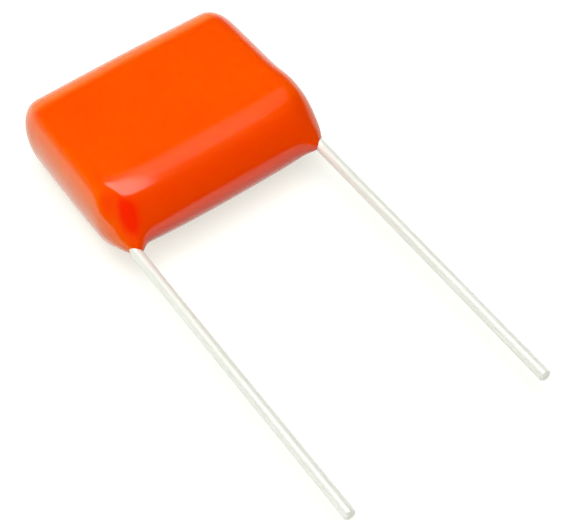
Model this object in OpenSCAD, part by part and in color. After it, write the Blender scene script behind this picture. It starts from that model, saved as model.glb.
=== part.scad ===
/* [Leads] */
// Distance between the two lead centres
lead_pitch = 15; // [10:0.5:27.5]
// Diameter of the round tinned wire
lead_d = 0.8; // [0.5:0.05:1.2]
// Free length of the left lead, past the coating's lead side
left_lead_l = 24.4; // [5:0.1:40]
// Free length of the right lead, past the coating's lead side
right_lead_l = 23.8; // [5:0.1:40]
// Length of the blade, the pressed inner end that is welded along the sprayed metal
blade_l = 9; // [4:0.5:11]
// Thickness of the blade
blade_t = 0.45; // [0.3:0.05:0.6]
// Width of the blade
blade_w = 1.2; // [0.8:0.05:1.6]
// Chamfer that the cutter leaves round each free end
tip_chamfer = 0.1; // [0.02:0.01:0.2]

/* [Coating] */
// Height of the body, from the lead side to the far side
body_h = 15; // [14:0.1:30]
// Thickness of the body, between its two broad faces
body_t = 6.2; // [5.4:0.1:12]
// Epoxy over the broad faces of the roll, where it is thinnest
coat_wall = 0.6; // [0.4:0.05:1]
// Epoxy over the lead side and the far side of the roll, at mid-thickness
coat_side_wall = 1; // [0.8:0.05:1.5]
// How far the roll and its leads sit below the middle of the body's thickness
roll_drop = 0.3; // [0:0.05:0.5]
// Epoxy outside each lead, at the middle of an end face
coat_over_lead = 0.8; // [0.5:0.05:2]
// Steepness of the flat slope on the lead side, in degrees from a broad face
lead_side_slope = 54; // [48:1:75]
// Radius of the shoulder between a broad face and the lead-side slope
lead_side_shoulder_r = 2.5; // [1:0.1:2.8]
// Steepness of the slope on the far side, in degrees from a broad face
far_side_slope = 74; // [60:1:78]
// Radius of the shoulder between a broad face and the far-side slope
far_side_shoulder_r = 2.7; // [1:0.1:2.8]
// Radius of the rounded edge at mid-thickness, on the lead side and the far side
nose_r = 0.9; // [0.4:0.1:1.5]
// How far the rounding of an end face reaches in from its outermost line
end_reach = 1.9; // [1.2:0.1:2.4]
// Fullness of the end faces: 2 is an ellipse, more is flatter
end_fullness = 2.1; // [1.8:0.05:3]
// Distance of each corner flat from the outermost line of the end face, at mid-thickness
corner_inset = 1.35; // [1:0.05:2]
// Steepness of the corner flats, in degrees from a broad face
corner_slope = 49; // [44:1:54]
// How far the corner flats turn from the lead side towards the end faces, in degrees
corner_turn = 25; // [10:1:40]
// Length of the collar that the epoxy draws out along each lead
collar_l = 0.3; // [0.1:0.05:1.5]
// Extra radius of the collar where it leaves the body
collar_flare = 0.35; // [0.2:0.05:0.8]

/* [Winding] */
// Thickness of the sprayed metal on each end of the roll
spray_t = 0.4; // [0.25:0.05:0.8]
// Margin of bare film round the edge of the sprayed metal
spray_margin = 0.15; // [0.05:0.05:0.5]
// Depth to which a blade is welded into the sprayed metal
weld_depth = 0.15; // [0.05:0.01:0.2]

/* [Hidden] */

// The origin is the middle of the broad face that the body lies on.
// +X runs along the pitch, the leads point to -Y, and +Z is up through the thickness.
mid_z = body_t / 2;
lead_r = lead_d / 2;
lead_x = lead_pitch / 2;
lead_side_y = -body_h / 2;
body_w = lead_pitch + lead_d + 2 * coat_over_lead;

roll_w = lead_pitch - blade_t - 2 * (spray_t - weld_depth);
roll_h = body_h - 2 * coat_side_wall;
roll_t = body_t - 2 * (coat_wall + roll_drop);
roll_z = mid_z - roll_drop;

collar_lip = 0.05;
collar_root = 1.6;
end_flat = 0.08;
slice = 0.01;

arc_step = 7;
end_steps = 9;
round_fn = 64;
hull_fn = 32;

// Distance from a bend's outermost line to the edge of the broad face
function bend_reach(slope, shoulder_r) =
    nose_r * (1 - sin(slope))
    + (mid_z - shoulder_r + (shoulder_r - nose_r) * cos(slope)) / tan(slope)
    + shoulder_r * sin(slope);

// Upper half of a bend: a nose arc, a straight slope and a shoulder arc.
// Its points are [distance out from the edge of the broad face, height over mid-thickness].
function half_bend(slope, shoulder_r) =
    let (nose_x = bend_reach(slope, shoulder_r) - nose_r,
         nose_n = ceil((90 - slope) / arc_step),
         shoulder_n = ceil(slope / arc_step))
    concat(
        [for (i = [0 : nose_n])
            let (a = (90 - slope) * i / nose_n)
            [nose_x + nose_r * cos(a), nose_r * sin(a)]],
        [for (i = [0 : shoulder_n])
            let (a = 90 - slope * (1 - i / shoulder_n))
            [shoulder_r * cos(a), mid_z - shoulder_r + shoulder_r * sin(a)]]);

// Whole bend, from the lower broad face round to the upper one
function bend(slope, shoulder_r) =
    let (b = half_bend(slope, shoulder_r))
    concat([for (i = [len(b) - 1 : -1 : 1]) [b[i][0], -b[i][1]]], b);

// Cross-section of the body in Y and Z, with its bends scaled by k
function section(k) =
    let (lead_c = body_h / 2 - bend_reach(lead_side_slope, lead_side_shoulder_r),
         far_c = body_h / 2 - bend_reach(far_side_slope, far_side_shoulder_r))
    concat(
        [for (p = bend(lead_side_slope, lead_side_shoulder_r)) [-lead_c - k * p[0], k * p[1]]],
        [for (p = bend(far_side_slope, far_side_shoulder_r)) [far_c + k * p[0], -k * p[1]]]);

// Stations from the full section to the outermost line of an end face, as [X, k]
function stations() =
    let (start = body_w / 2 - end_reach,
         power = 2 / end_fullness)
    concat(
        [for (i = [0 : end_steps - 1])
            let (a = 90 * i / end_steps)
            [start + end_reach * pow(sin(a), power), pow(cos(a), power)]],
        [[body_w / 2, end_flat]]);

module lofted_body() {
    half = stations();
    n = len(half);
    rings = concat([for (i = [n - 1 : -1 : 0]) [-half[i][0], half[i][1]]], half);
    m = len(section(1));
    points = [for (r = rings) for (p = section(r[1])) [r[0], p[0], mid_z + p[1]]];
    sides = [for (i = [0 : 2 * n - 2]) for (j = [0 : m - 1])
        [i * m + j, i * m + (j + 1) % m, (i + 1) * m + (j + 1) % m, (i + 1) * m + j]];
    first = [for (j = [m - 1 : -1 : 0]) j];
    last = [for (j = [0 : m - 1]) (2 * n - 1) * m + j];
    polyhedron(points, concat([first], sides, [last]));
}

// Block that takes one corner down to a flat, between a broad face and the foot of a lead
module corner_block(side, up) {
    block = body_t + body_h;
    translate([side * (body_w / 2 - corner_inset), lead_side_y, mid_z])
        rotate([0, 0, side * corner_turn])
            rotate([-up * (90 - corner_slope), 0, 0])
                translate([0, -block / 2, 0])
                    cube(block, center = true);
}

module dipped_body() {
    difference() {
        lofted_body();
        for (side = [-1, 1], up = [-1, 1])
            corner_block(side, up);
    }
}

// Outline with two straight sides and round ends
module stadium(l, t) {
    square([l - t, t], center = true);
    for (s = [-1, 1])
        translate([s * (l - t) / 2, 0])
            circle(t / 2, $fn = round_fn);
}

module blade_outline() {
    rotate(90)
        stadium(blade_w, blade_t);
}

// One lead along -Y: a blade over the roll's end, a neck through the coating, and the round wire
module lead(side, free_l) {
    neck_l = coat_side_wall + collar_l;
    round_l = free_l - collar_l - tip_chamfer;
    translate([side * lead_x, lead_side_y + coat_side_wall, roll_z])
        rotate([90, 0, 0]) {
            translate([0, 0, -blade_l])
                linear_extrude(blade_l)
                    blade_outline();
            hull() {
                linear_extrude(slice)
                    blade_outline();
                translate([0, 0, neck_l - slice])
                    cylinder(h = slice, r = lead_r, $fn = hull_fn);
            }
            translate([0, 0, neck_l])
                cylinder(h = round_l, r = lead_r, $fn = round_fn);
            translate([0, 0, neck_l + round_l])
                cylinder(h = tip_chamfer, r1 = lead_r, r2 = lead_r - tip_chamfer, $fn = round_fn);
        }
}

// The flattened roll, wound round an axis along X, with its edges drawn in by margin
module roll_block(w, margin) {
    translate([-w / 2, 0, roll_z])
        rotate([90, 0, 90])
            linear_extrude(w)
                stadium(roll_h - 2 * margin, roll_t - 2 * margin);
}

module sprayed_block(side) {
    translate([side * (roll_w + spray_t) / 2, 0, 0])
        roll_block(spray_t, spray_margin);
}

module end_spray(side, lead_l) {
    difference() {
        sprayed_block(side);
        lead(side, lead_l);
    }
}

// Skirt of epoxy that thins out along a lead
module collar(side) {
    translate([side * lead_x, lead_side_y + collar_root, roll_z])
        rotate([90, 0, 0])
            cylinder(h = collar_root + collar_l, r1 = lead_r + collar_flare,
                     r2 = lead_r + collar_lip, $fn = round_fn);
}

module epoxy_coating() {
    color("orangered")
        difference() {
            union() {
                dipped_body();
                collar(-1);
                collar(1);
            }
            roll_block(roll_w, 0);
            sprayed_block(-1);
            sprayed_block(1);
            lead(-1, left_lead_l);
            lead(1, right_lead_l);
        }
}

module film_winding() {
    color("gainsboro") roll_block(roll_w, 0);
}

module end_spray_left() {
    color("darkgray") end_spray(-1, left_lead_l);
}

module end_spray_right() {
    color("darkgray") end_spray(1, right_lead_l);
}

module lead_left() {
    color("silver") lead(-1, left_lead_l);
}

module lead_right() {
    color("silver") lead(1, right_lead_l);
}

epoxy_coating();
film_winding();
end_spray_left();
end_spray_right();
lead_left();
lead_right();
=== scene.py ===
"""Finish for a dipped film capacitor that lies on its broad face, with its leads towards -Y."""
import math

import bpy
import numpy as np
from mathutils import Matrix, Vector, noise


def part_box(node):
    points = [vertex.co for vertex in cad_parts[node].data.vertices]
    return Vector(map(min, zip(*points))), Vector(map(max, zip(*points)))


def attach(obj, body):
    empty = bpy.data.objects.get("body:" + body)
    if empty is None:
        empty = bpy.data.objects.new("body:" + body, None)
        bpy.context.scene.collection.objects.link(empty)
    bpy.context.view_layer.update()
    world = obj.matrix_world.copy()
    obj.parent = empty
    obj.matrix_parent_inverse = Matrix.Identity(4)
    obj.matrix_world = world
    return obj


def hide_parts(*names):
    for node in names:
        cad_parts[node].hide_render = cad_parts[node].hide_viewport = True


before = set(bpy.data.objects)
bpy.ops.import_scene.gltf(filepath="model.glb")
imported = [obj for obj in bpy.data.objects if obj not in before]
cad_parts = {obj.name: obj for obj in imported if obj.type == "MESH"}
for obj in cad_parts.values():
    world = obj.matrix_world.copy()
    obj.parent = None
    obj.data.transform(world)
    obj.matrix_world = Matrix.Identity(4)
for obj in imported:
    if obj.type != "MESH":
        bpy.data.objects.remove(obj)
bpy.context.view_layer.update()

MM = 0.001

# ---- sizes that the coating's CAD solid has too, in millimetres and degrees ----
LEAD_SIDE_SLOPE = 54
LEAD_SIDE_SHOULDER_R = 2.5
FAR_SIDE_SLOPE = 74
FAR_SIDE_SHOULDER_R = 2.7
NOSE_R = 0.9
END_REACH = 1.9
END_FULLNESS = 2.1
COLLAR_L = 0.3

# ---- how fine the coating's mesh is ----
ARC_STEPS = 40
SECTION_POINTS = 240
END_STEPS = 30
SPAN_STEPS = 90
# Share of the bends that is left at the outermost line of an end face
SLIT = 0.01

# ---- how far the creases of the section are drawn smooth ----
SMOOTH_PASSES = 6
SOFT_PASSES = 30
# Share of a soft pass that the lead side's shoulders take; its nose and the far side take all of it
SHOULDER_SOFTNESS = 0.5
# How far the nose reaches over and under mid-thickness, in millimetres, and how sharply it ends
NOSE_BAND = 1.5
NOSE_BAND_POWER = 4

# ---- unevenness of the coating, in millimetres ----
FAR_BULGE = 0.15
END_BULGE = 0.12
RIDGE_AT = (8.2, -3.1, 2.6)
RIDGE_OUT = (0.95, 0.0, 0.3)
RIDGE_REACH = 0.19
RIDGE_SPREAD = 1.5
COLLAR_REACH = {"lead_left": 0.95, "lead_right": 0.45}
COLLAR_SPREAD = 0.8
SWELL = 0.035
SWELL_LENGTH = 5.0

# ---- flats at the corners of the lead side, in millimetres ----
CORNER_OUT = (0.324, -0.679, 0.659)
END_OUT = (0.542, -0.473, 0.695)
# Each stage: how far under the flat it starts, the share of the coat beyond that it takes off, its blend.
SAG = (0.6, 0.25, 0.35)
CRISP = (0.0, 1.0, 0.05)
BLURRED = (0.0, 1.0, 0.25)
# Each flat: its side, a point on it with Z over mid-thickness, the way it faces, its stages, its share of
# painted shade (a deeper red).
FLATS = (
    (-1, (7.35, -7.5, 0.0), CORNER_OUT, (SAG, CRISP), 1.0),
    (-1, (7.34, -4.21, 2.86), END_OUT, (CRISP,), 0.12),
    (1, (8.1, -7.5, 0.0), CORNER_OUT, (BLURRED,), 0.0),
)
# Where the painted shade of a flat has faded out, measured along the flat, and the length that it fades
# over
SHADE_EDGE = 4.35
SHADE_FADE = 1.3

# ---- epoxy ----
EPOXY_ORANGES = ((0.98, 0.086, 0.0), (1.0, 0.096, 0.0))
# Painted shade: a deeper red for the lead side, which is turned away from the light
PAINTED_LEAD_SIDE_SHADE = (0.91, 0.062, 0.0)
# Painted light: a paler orange for the end faces and the far side, where more light falls
PAINTED_RIM_LIGHT = (1.0, 0.18, 0.0)
# Painted shade: a deep red for the corner flats, which fall in shade
PAINTED_CORNER_SHADE = (0.94, 0.02, 0.0)
# Normal's Y from where the lead side takes its painted shade of deeper red to where it doesn't
LEAD_SIDE_FADE = (-0.8, -0.2)
# How much painted rim light an end face and the far side take, and the painted light's fade into the
# broad face
END_RIM = 0.8
FAR_RIM = 3.5
RIM_FADE = (0.9, 0.3)
# Depth of painted corner shade, as its attribute holds it, from where a corner is painted deep red to
# where it isn't
CORNER_FADE = (0.05, 0.0)
# Noises, as features per metre and detail
MOTTLE = (160, 1.0)
HAZE = (900, 3.0)
DIMPLES = (700, 1.0)
# Height of the dimples, in millimetres
DIMPLE_RELIEF = 0.006
EPOXY_ROUGHNESS = (0.08, 0.16)
EPOXY_IOR = 1.55
# Share, colour and depth in millimetres of the light that the epoxy scatters inside
SCATTER = 0.5
SCATTER_COLOUR = (1.0, 0.15, 0.05)
SCATTER_DEPTH = 2.0

# ---- camera, in millimetres and degrees ----
CAMERA_AT = (-29.41, -68.79, 82.37)
CAMERA_AIM = (-0.38, -14.25, 3.1)
CAMERA_ROLL = -7.7
LENS = 99.21
CLIP_START = 5.0

# ---- floor, in metres, whose glow only the camera, reflections and refractions see ----
FLOOR_R = 1.5
FLOOR_POINTS = 96
FLOOR_TONE = (0.42, 0.42, 0.42, 1)
FLOOR_ROUGHNESS = 0.9
FLOOR_GLOW = 0.695
GLOW_COLOUR = (0.95, 1.0, 0.91, 1)

# ---- world ----
WORLD_LEVEL = 0.005
HORIZON_LEVEL = 0.75
# Span of height in which the horizon's level falls to the world's, and how much faster it falls
# where no backdrop rises
HORIZON_FADE = (0.0, 0.5)
HORIZON_STEEPNESS = 4.5
# How far the backdrop rises behind the object, how far back it starts, and how fast it falls to the sides
BACKDROP_RISE = 0.4
BACKDROP_EDGE = 0.5
BACKDROP_ROUND = 0.7

# ---- lamps, as place, width and depth, all in metres, and level ----
LAMPS = {
    "overhead_left": ((0.0775, 0.04, 0.3), (0.065, 0.22), 0.55),
    "overhead_right": ((0.155, 0.04, 0.3), (0.09, 0.22), 0.28),
    "overhead_far": ((0.09, 0.17, 0.3), (0.22, 0.04), 0.3),
    "hot_spot": ((-0.03, -0.02, 0.3), (0.15, 0.3), 3.2),
}
FILLS = {
    "broad_fill": ((0.0, -0.05, 0.66), (0.8, 0.8), 1.75),
    "left_fill": ((-0.45, -0.25, 0.18), (0.5, 0.5), 1.3),
}


def coating_box():
    """The coating's corners without its collars, in millimetres."""
    low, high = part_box("epoxy_coating")
    low, high = low / MM, high / MM
    low.y += COLLAR_L
    return low, high


LOW, HIGH = coating_box()
BODY_W = HIGH.x - LOW.x
BODY_H = HIGH.y - LOW.y
BODY_T = HIGH.z - LOW.z
MID_Z = BODY_T / 2


def lead_axis(node):
    """X and Z of a lead's centre line, in millimetres."""
    low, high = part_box(node)
    middle = (low + high) / 2 / MM
    return middle.x, middle.z


# ---- coating ----
def bend_reach(slope, shoulder_r):
    """Distance from a bend's outermost line to the edge of the broad face."""
    a = math.radians(slope)
    rise = MID_Z - shoulder_r + (shoulder_r - NOSE_R) * math.cos(a)
    return NOSE_R * (1 - math.sin(a)) + rise / math.tan(a) + shoulder_r * math.sin(a)


def half_bend(slope, shoulder_r):
    """Upper half of a bend as [out, up] points: nose arc, straight slope, shoulder arc."""
    a = math.radians(slope)
    reach = bend_reach(slope, shoulder_r)
    t = np.linspace(0, math.pi / 2 - a, ARC_STEPS + 1)
    nose = np.column_stack((reach + NOSE_R * (np.cos(t) - 1), NOSE_R * np.sin(t)))
    t = np.linspace(math.pi / 2 - a, math.pi / 2, ARC_STEPS + 1)
    shoulder = np.column_stack((shoulder_r * np.cos(t), MID_Z + shoulder_r * (np.sin(t) - 1)))
    return np.vstack((nose, shoulder))


LEAD_C = BODY_H / 2 - bend_reach(LEAD_SIDE_SLOPE, LEAD_SIDE_SHOULDER_R)
FAR_C = BODY_H / 2 - bend_reach(FAR_SIDE_SLOPE, FAR_SIDE_SHOULDER_R)


def even_loop():
    """Closed loop of evenly spaced [Y, Z] points round the section, with Z over mid-thickness."""
    near = half_bend(LEAD_SIDE_SLOPE, LEAD_SIDE_SHOULDER_R) * (-1, 1) - (LEAD_C, 0)
    far = half_bend(FAR_SIDE_SLOPE, FAR_SIDE_SHOULDER_R)[::-1] + (FAR_C, 0)
    upper = np.vstack((near, far))
    loop = np.vstack((upper, upper[-2::-1] * (1, -1)))
    along = np.append(0, np.cumsum(np.hypot(*np.diff(loop, axis=0).T)))
    spots = np.linspace(0, along[-1], SECTION_POINTS, endpoint=False)
    return np.column_stack([np.interp(spots, along, loop[:, i]) for i in (0, 1)])


def softness(loop):
    """How much of a soft pass each point takes."""
    y, z = loop[:, :1], loop[:, 1:]
    nose = np.exp(-((z / NOSE_BAND) ** NOSE_BAND_POWER))
    return np.where(y > 0, 1, SHOULDER_SOFTNESS + (1 - SHOULDER_SOFTNESS) * nose)


def full_section():
    """The section at full size, with its creases drawn smooth as a wet coat draws them."""
    loop = even_loop()
    for i in range(SMOOTH_PASSES + SOFT_PASSES):
        average = (np.roll(loop, 1, axis=0) + loop + np.roll(loop, -1, axis=0)) / 3
        share = 1 if i < SMOOTH_PASSES else softness(loop)
        loop = loop + share * (average - loop)
    half_size = np.array((BODY_H / 2, MID_Z))
    return loop * half_size / np.abs(loop).max(axis=0)


def shrink_bends(section, k):
    """The section with its bends scaled by k towards the edges of the broad faces."""
    y, z = section.T
    bent = np.where(y < 0, np.minimum(y + LEAD_C, 0), np.maximum(y - FAR_C, 0))
    return np.column_stack((y - (1 - k) * bent, k * z))


def stations():
    """[X, k] from one end of the coating to the other."""
    start = BODY_W / 2 - END_REACH
    power = 2 / END_FULLNESS
    t = np.linspace(0, math.pi / 2, END_STEPS + 1)
    half = np.column_stack((start + END_REACH * np.sin(t) ** power, np.cos(t).clip(0) ** power))
    half[-1] = BODY_W / 2, SLIT
    span = [(x, 1) for x in np.linspace(-start, start, SPAN_STEPS + 1)[1:-1]]
    return np.vstack((half[::-1] * (-1, 1), span, half))


def coating_points():
    """Rings of points, as an array of [station, point round the section, XYZ], in millimetres."""
    section = full_section()
    return np.array([[(x, y, MID_Z + z) for y, z in shrink_bends(section, k)] for x, k in stations()])


def coating_faces(rings, count):
    """Quads from ring to ring, then strips across the first ring and the last."""
    faces = []
    for ring in range(0, (rings - 1) * count, count):
        for j in range(count):
            after = (j + 1) % count
            faces.append((ring + j, ring + count + j, ring + count + after, ring + after))
    for ring, turn in ((0, 1), ((rings - 1) * count, -1)):
        for j in range(count // 2):
            corners = [j, j + 1, (count - j - 1) % count, (count - j) % count]
            faces.append([ring + corner for corner in dict.fromkeys(corners)][::turn])
    return faces


def pillow(p):
    """Draws the corners in a little, so that the far side and the end faces bulge."""
    x = 2 * p[..., 0] / BODY_W
    y = 2 * p[..., 1] / BODY_H
    p[..., 1] -= FAR_BULGE * x**2 * y.clip(0) ** 2
    p[..., 0] -= END_BULGE * y**2 * x**3


def fill_right_end(p):
    """Fills out the right end near its lead, on both faces, where the coat has set thickest."""
    for up in (-1, 1):
        at = np.array(RIDGE_AT) * (1, 1, up) + (0, 0, MID_Z)
        off = np.linalg.norm(p - at, axis=-1)[..., None]
        p += RIDGE_REACH * np.exp(-((off / RIDGE_SPREAD) ** 2)) * np.array(RIDGE_OUT) * (1, 1, up)
    p[..., 2] = p[..., 2].clip(0, BODY_T)


def flatten_corners(p):
    """Lays the flats, from the roll's corners down to the leads, on both faces.

    Returns how deep a painted shade of red each point takes, which the flat's last stage decides.
    """
    shade_weight = np.zeros(p.shape[:-1])
    for side, place, facing, stages, shade_share in FLATS:
        for up in (-1, 1):
            at = np.array(place) * (side, 1, up) + (0, 0, MID_Z)
            out = np.array(facing) * (side, 1, up)
            out /= np.linalg.norm(out)
            across = np.array((-out[1] * side, abs(out[0]), 0)) / math.hypot(out[0], out[1])
            shade_fac = shade_share * ((SHADE_EDGE - p @ across) / SHADE_FADE).clip(0, 1)
            for start, share, blend in stages:
                beyond = (p - at) @ out + start
                depth = share * blend * np.logaddexp(0, beyond / blend)
                p -= out * depth[..., None]
            # Each flat's depth, weighted by its share of painted shade, adds to the painted corner shade.
            shade_weight += depth * shade_fac
    return shade_weight


def draw_out_collars(p):
    """Pulls the skin out along each lead, as the wet epoxy creeps up the wire."""
    for node, reach in COLLAR_REACH.items():
        x, z = lead_axis(node)
        off = np.hypot(p[..., 0] - x, p[..., 2] - z)
        lead_side = p[..., 1] < 0
        p[..., 1] -= lead_side * reach * np.exp(-((off / COLLAR_SPREAD) ** 2))


def swell(mesh):
    """Draws the skin in a little here and there, because a dipped coat is never quite even."""
    moved = []
    for v, n in zip(mesh.vertices, mesh.vertex_normals):
        depth = SWELL * (1 + noise.noise(v.co / (SWELL_LENGTH * MM))) / 2
        moved.append(v.co - n.vector * depth * MM)
    for v, place in zip(mesh.vertices, moved):
        v.co = place


def make_coating():
    """The epoxy skin, with the depth of its painted corner shade in a point attribute."""
    points = coating_points()
    pillow(points)
    fill_right_end(points)
    shade_weight = flatten_corners(points)
    draw_out_collars(points)
    rings, count = points.shape[:2]
    mesh = bpy.data.meshes.new("epoxy_skin")
    mesh.from_pydata((points * MM).reshape(-1, 3).tolist(), [], coating_faces(rings, count))
    mesh.update()
    swell(mesh)
    # Painted shade: the attribute holds how deep a red each corner point is painted.
    mesh.attributes.new("corner_shade_depth", "FLOAT", "POINT").data.foreach_set("value", shade_weight.ravel())
    mesh.polygons.foreach_set("use_smooth", [True] * len(mesh.polygons))
    skin = bpy.data.objects.new("epoxy_skin", mesh)
    bpy.context.scene.collection.objects.link(skin)
    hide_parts("epoxy_coating")
    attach(skin, "root")
    return skin


# ---- shader nodes ----
def maths(tree, operation, *values):
    """The result of a Math node; each value is a number or another node's socket."""
    node = tree.nodes.new("ShaderNodeMath")
    node.operation = operation
    for socket, value in zip(node.inputs, values):
        if isinstance(value, bpy.types.NodeSocket):
            tree.links.new(value, socket)
        else:
            socket.default_value = value
    return node.outputs["Value"]


def remap(tree, value, source=(0, 1), target=(0, 1), method="LINEAR"):
    """The value, taken from the source range to the target range."""
    node = tree.nodes.new("ShaderNodeMapRange")
    node.interpolation_type = method
    node.inputs["From Min"].default_value, node.inputs["From Max"].default_value = source
    node.inputs["To Min"].default_value, node.inputs["To Max"].default_value = target
    tree.links.new(value, node.inputs["Value"])
    return node.outputs["Result"]


def direction(tree, kind):
    """X, Y and Z of a texture coordinate."""
    coords = tree.nodes.new("ShaderNodeTexCoord")
    split = tree.nodes.new("ShaderNodeSeparateXYZ")
    tree.links.new(coords.outputs[kind], split.inputs["Vector"])
    return split.outputs


def object_noise(tree, scale, detail, stretch=(1, 1, 1)):
    """Noise that lies still on the object; scale is features per metre."""
    coords = tree.nodes.new("ShaderNodeTexCoord")
    mapping = tree.nodes.new("ShaderNodeMapping")
    mapping.inputs["Scale"].default_value = stretch
    texture = tree.nodes.new("ShaderNodeTexNoise")
    texture.inputs["Scale"].default_value = scale
    texture.inputs["Detail"].default_value = detail
    tree.links.new(coords.outputs["Object"], mapping.inputs["Vector"])
    tree.links.new(mapping.outputs["Vector"], texture.inputs["Vector"])
    return texture.outputs["Fac"]


def shades(tree, fac, colours, positions=(0.3, 0.7)):
    """The first colour up to the first position, the second one from the second, and a mix between."""
    ramp = tree.nodes.new("ShaderNodeValToRGB")
    for element, colour, position in zip(ramp.color_ramp.elements, colours, positions):
        element.position = position
        element.color = (*colour, 1)
    tree.links.new(fac, ramp.inputs["Fac"])
    return ramp.outputs["Color"]


def tint(tree, fac, fixed, colour):
    """The fixed colour where fac is 0 and the other one where it is 1."""
    mix = tree.nodes.new("ShaderNodeMix")
    mix.data_type = "RGBA"
    mix.inputs["A"].default_value = (*fixed, 1)
    tree.links.new(fac, mix.inputs["Factor"])
    tree.links.new(colour, mix.inputs["B"])
    return mix.outputs["Result"]


def bump(tree, height, relief):
    """A normal from a height; relief is in millimetres."""
    node = tree.nodes.new("ShaderNodeBump")
    node.inputs["Strength"].default_value = 1.0
    node.inputs["Distance"].default_value = relief * MM
    tree.links.new(height, node.inputs["Height"])
    return node.outputs["Normal"]


# ---- materials ----
def new_material(name):
    material = bpy.data.materials.new(name)
    material.use_nodes = True
    return material, material.node_tree, material.node_tree.nodes["Principled BSDF"]


def epoxy_colour(tree):
    """Orange, with painted light that makes it paler towards its rims, and painted shade that makes it
    redder on the lead side and most of all at its corners.
    """
    x, y, _ = direction(tree, "Normal")
    # Painted shade on the lead side, by how far the normal turns towards the leads
    lead_side = remap(tree, y, LEAD_SIDE_FADE, method="SMOOTHSTEP")
    # Painted light on the end faces and the far side, by how far the normal turns out to them
    end = maths(tree, "MULTIPLY", maths(tree, "ABSOLUTE", x), END_RIM)
    far_side = maths(tree, "MULTIPLY", y, FAR_RIM)
    rim = remap(tree, maths(tree, "MAXIMUM", end, far_side), RIM_FADE, method="SMOOTHSTEP")
    # Painted shade at the corner flats, from the attribute that make_coating writes
    shade_weight = tree.nodes.new("ShaderNodeAttribute")
    shade_weight.attribute_name = "corner_shade_depth"
    corner = remap(tree, shade_weight.outputs["Fac"], CORNER_FADE)
    colour = shades(tree, object_noise(tree, *MOTTLE), EPOXY_ORANGES)
    for fac, fixed in ((lead_side, PAINTED_LEAD_SIDE_SHADE), (rim, PAINTED_RIM_LIGHT), (corner, PAINTED_CORNER_SHADE)):
        colour = tint(tree, fac, fixed, colour)
    return colour


def orange_epoxy():
    material, tree, shader = new_material("orange_epoxy")
    haze = object_noise(tree, *HAZE)
    dimples = object_noise(tree, *DIMPLES)
    tree.links.new(epoxy_colour(tree), shader.inputs["Base Color"])
    tree.links.new(remap(tree, haze, target=EPOXY_ROUGHNESS), shader.inputs["Roughness"])
    tree.links.new(bump(tree, dimples, DIMPLE_RELIEF), shader.inputs["Normal"])
    shader.inputs["IOR"].default_value = EPOXY_IOR
    shader.inputs["Subsurface Weight"].default_value = SCATTER
    shader.inputs["Subsurface Radius"].default_value = SCATTER_COLOUR
    shader.inputs["Subsurface Scale"].default_value = SCATTER_DEPTH * MM
    return material


def grained_material(name, colours, roughness, relief, metallic, scale, detail, stretch=(1, 1, 1)):
    """Material whose colour, roughness and relief all follow one grain."""
    material, tree, shader = new_material(name)
    grain = object_noise(tree, scale, detail, stretch)
    tree.links.new(shades(tree, grain, colours), shader.inputs["Base Color"])
    tree.links.new(remap(tree, grain, target=roughness), shader.inputs["Roughness"])
    tree.links.new(bump(tree, grain, relief), shader.inputs["Normal"])
    shader.inputs["Metallic"].default_value = metallic
    return material


def tinned_wire():
    """Dull tin, with faint streaks along the wire."""
    return grained_material(
        "tinned_wire",
        colours=((0.92, 0.93, 0.84), (0.97, 0.98, 0.9)),
        roughness=(0.32, 0.44),
        relief=0.003,
        metallic=0.22,
        scale=4000,
        detail=3.0,
        stretch=(1, 0.05, 1),
    )


def sprayed_zinc():
    """Grey metal with the coarse grain of sprayed drops."""
    return grained_material(
        "sprayed_zinc",
        colours=((0.4, 0.41, 0.42), (0.62, 0.63, 0.65)),
        roughness=(0.5, 0.8),
        relief=0.04,
        metallic=1.0,
        scale=5000,
        detail=3.0,
    )


def metallised_film():
    """Silvery film, with a grain that runs round the roll."""
    return grained_material(
        "metallised_film",
        colours=((0.5, 0.51, 0.52), (0.7, 0.71, 0.72)),
        roughness=(0.3, 0.5),
        relief=0.02,
        metallic=0.6,
        scale=600,
        detail=2.0,
        stretch=(0.1, 1, 8),
    )


def dress_nodes(names, material):
    for name in names:
        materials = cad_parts[name].data.materials
        materials.clear()
        materials.append(material)


# ---- stage ----
def white_sweep():
    """Grey to the lamps and pale to the eye, so that it shows the object's shadow and stays pale."""
    material, tree, shader = new_material("white_sweep")
    shader.inputs["Base Color"].default_value = FLOOR_TONE
    shader.inputs["Roughness"].default_value = FLOOR_ROUGHNESS
    shader.inputs["Specular IOR Level"].default_value = 0.0
    shader.inputs["Emission Color"].default_value = GLOW_COLOUR
    path = tree.nodes.new("ShaderNodeLightPath")
    seen = path.outputs["Is Camera Ray"]
    for ray in ("Is Glossy Ray", "Is Transmission Ray"):
        seen = maths(tree, "MAXIMUM", seen, path.outputs[ray])
    tree.links.new(maths(tree, "MULTIPLY", seen, FLOOR_GLOW), shader.inputs["Emission Strength"])
    return material


def add_floor():
    mesh = bpy.data.meshes.new("studio_floor")
    angles = np.linspace(0, 2 * math.pi, FLOOR_POINTS, endpoint=False)
    rim = [(FLOOR_R * math.cos(a), FLOOR_R * math.sin(a), 0) for a in angles]
    mesh.from_pydata(rim, [], [range(len(rim))])
    mesh.materials.append(white_sweep())
    floor = bpy.data.objects.new("studio_floor", mesh)
    bpy.context.scene.collection.objects.link(floor)


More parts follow.
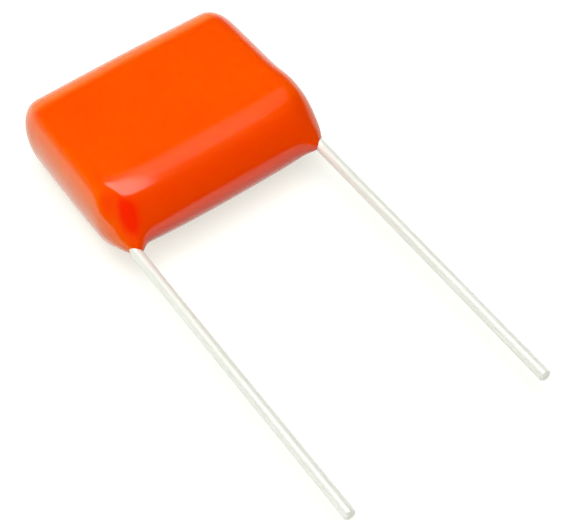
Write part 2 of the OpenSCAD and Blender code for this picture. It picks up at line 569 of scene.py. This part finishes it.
def add_world():
    """White near the horizon, higher up behind the object, and dim overhead."""
    world = bpy.data.worlds.new("studio")
    bpy.context.scene.world = world
    world.use_nodes = True
    tree = world.node_tree
    x, y, z = direction(tree, "Generated")
    aside = maths(tree, "MULTIPLY", maths(tree, "ABSOLUTE", x), BACKDROP_ROUND)
    behind = maths(tree, "SUBTRACT", maths(tree, "SUBTRACT", y, aside), BACKDROP_EDGE)
    above = maths(tree, "SUBTRACT", z, maths(tree, "MULTIPLY", behind, BACKDROP_RISE))
    band = maths(tree, "MULTIPLY", z, HORIZON_STEEPNESS)
    height = maths(tree, "MINIMUM", above, band)
    level = remap(tree, height, HORIZON_FADE, (HORIZON_LEVEL, WORLD_LEVEL), "SMOOTHSTEP")
    background = tree.nodes["Background"]
    background.inputs["Color"].default_value = (1, 1, 1, 1)
    tree.links.new(level, background.inputs["Strength"])


def add_lamp(name, place, size, level):
    """A soft box that faces straight down; level is how bright its face is."""
    data = bpy.data.lights.new(name, "AREA")
    data.shape = "RECTANGLE"
    data.size, data.size_y = size
    data.energy = level * math.pi * size[0] * size[1]
    lamp = bpy.data.objects.new(name, data)
    bpy.context.scene.collection.objects.link(lamp)
    lamp.location = place
    return lamp


def add_fill(name, place, size, level):
    """A soft box that faces the object and leaves no reflection on it."""
    lamp = add_lamp(name, place, size, level)
    inward = Vector() - Vector(place)
    lamp.rotation_euler = inward.to_track_quat("-Z", "Y").to_euler()
    lamp.visible_glossy = False


def add_camera():
    data = bpy.data.cameras.new("camera")
    data.lens = LENS
    data.clip_start = CLIP_START * MM
    camera = bpy.data.objects.new("camera", data)
    bpy.context.scene.collection.objects.link(camera)
    place = Vector(CAMERA_AT) * MM
    aim = Vector(CAMERA_AIM) * MM
    turn = (aim - place).to_track_quat("-Z", "Y").to_matrix().to_4x4()
    roll = Matrix.Rotation(math.radians(CAMERA_ROLL), 4, "Z")
    camera.matrix_world = Matrix.Translation(place) @ turn @ roll
    bpy.context.scene.camera = camera


add_camera()
add_floor()
add_world()
for name, lamp in LAMPS.items():
    add_lamp(name, *lamp)
for name, lamp in FILLS.items():
    add_fill(name, *lamp)
bpy.context.scene.view_settings.view_transform = "Standard"

skin = make_coating()
skin.data.materials.append(orange_epoxy())
dress_nodes(("lead_left", "lead_right"), tinned_wire())
dress_nodes(("end_spray_left", "end_spray_right"), sprayed_zinc())
dress_nodes(("film_winding",), metallised_film())
